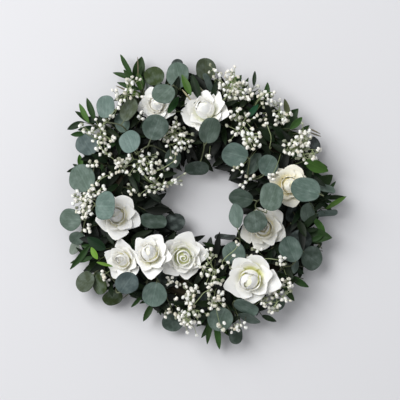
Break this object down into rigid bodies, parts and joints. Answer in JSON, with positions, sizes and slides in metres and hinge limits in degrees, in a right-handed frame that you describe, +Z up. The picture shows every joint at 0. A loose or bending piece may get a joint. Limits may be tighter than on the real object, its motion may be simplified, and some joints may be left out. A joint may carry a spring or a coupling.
{
  "type": "wreath",
  "caption": "Round wreath of eucalyptus leaves, white roses, baby's breath and dark pointed leaves on a twisted vine ring.",
  "frame": {"origin": "on the surface that the wreath lies on, under the middle of its outline", "axes": "+Z up out of the flowers, +Y the top of the wreath as it would hang, +X to the right"},
  "size_m": [0.4603, 0.4769, 0.1111],
  "materials": {
    "vine": "rough dry bark",
    "rose_petal": "soft matte",
    "rose_stem": "satin green",
    "eucalyptus_leaf": "waxy matte",
    "babys_breath": "matte",
    "pointed_leaf": "satin"
  },
  "bodies": {
    "root": {"vine_base": "vine", "rose_bloom_1": "rose_petal", "rose_bloom_2": "rose_petal", "rose_bloom_3": "rose_petal", "rose_bloom_4": "rose_petal", "rose_bloom_5": "rose_petal", "rose_bloom_6": "rose_petal", "rose_bloom_7": "rose_petal", "rose_bloom_8": "rose_petal", "rose_bloom_9": "rose_petal", "rose_stem_1": "rose_stem", "rose_stem_2": "rose_stem", "rose_stem_3": "rose_stem", "rose_stem_4": "rose_stem", "rose_stem_5": "rose_stem", "rose_stem_6": "rose_stem", "rose_stem_7": "rose_stem", "rose_stem_8": "rose_stem", "rose_stem_9": "rose_stem", "eucalyptus_1": "eucalyptus_leaf", "eucalyptus_2": "eucalyptus_leaf", "eucalyptus_3": "eucalyptus_leaf", "eucalyptus_4": "eucalyptus_leaf", "eucalyptus_5": "eucalyptus_leaf", "eucalyptus_6": "eucalyptus_leaf", "eucalyptus_7": "eucalyptus_leaf", "eucalyptus_8": "eucalyptus_leaf", "eucalyptus_9": "eucalyptus_leaf", "eucalyptus_10": "eucalyptus_leaf", "eucalyptus_11": "eucalyptus_leaf", "eucalyptus_12": "eucalyptus_leaf", "eucalyptus_13": "eucalyptus_leaf", "eucalyptus_14": "eucalyptus_leaf", "eucalyptus_15": "eucalyptus_leaf", "eucalyptus_16": "eucalyptus_leaf", "eucalyptus_17": "eucalyptus_leaf", "babys_breath_1": "babys_breath", "babys_breath_2": "babys_breath", "babys_breath_3": "babys_breath", "babys_breath_4": "babys_breath", "babys_breath_5": "babys_breath", "babys_breath_6": "babys_breath", "babys_breath_7": "babys_breath", "babys_breath_8": "babys_breath", "babys_breath_9": "babys_breath", "babys_breath_10": "babys_breath", "babys_breath_11": "babys_breath", "babys_breath_12": "babys_breath", "babys_breath_13": "babys_breath", "pointed_leaves_1": "pointed_leaf", "pointed_leaves_2": "pointed_leaf", "pointed_leaves_3": "pointed_leaf", "pointed_leaves_4": "pointed_leaf", "pointed_leaves_5": "pointed_leaf", "pointed_leaves_6": "pointed_leaf", "pointed_leaves_7": "pointed_leaf", "pointed_leaves_8": "pointed_leaf", "pointed_leaves_9": "pointed_leaf", "pointed_leaves_10": "pointed_leaf", "pointed_leaves_11": "pointed_leaf"}
  },
  "joints": []
}
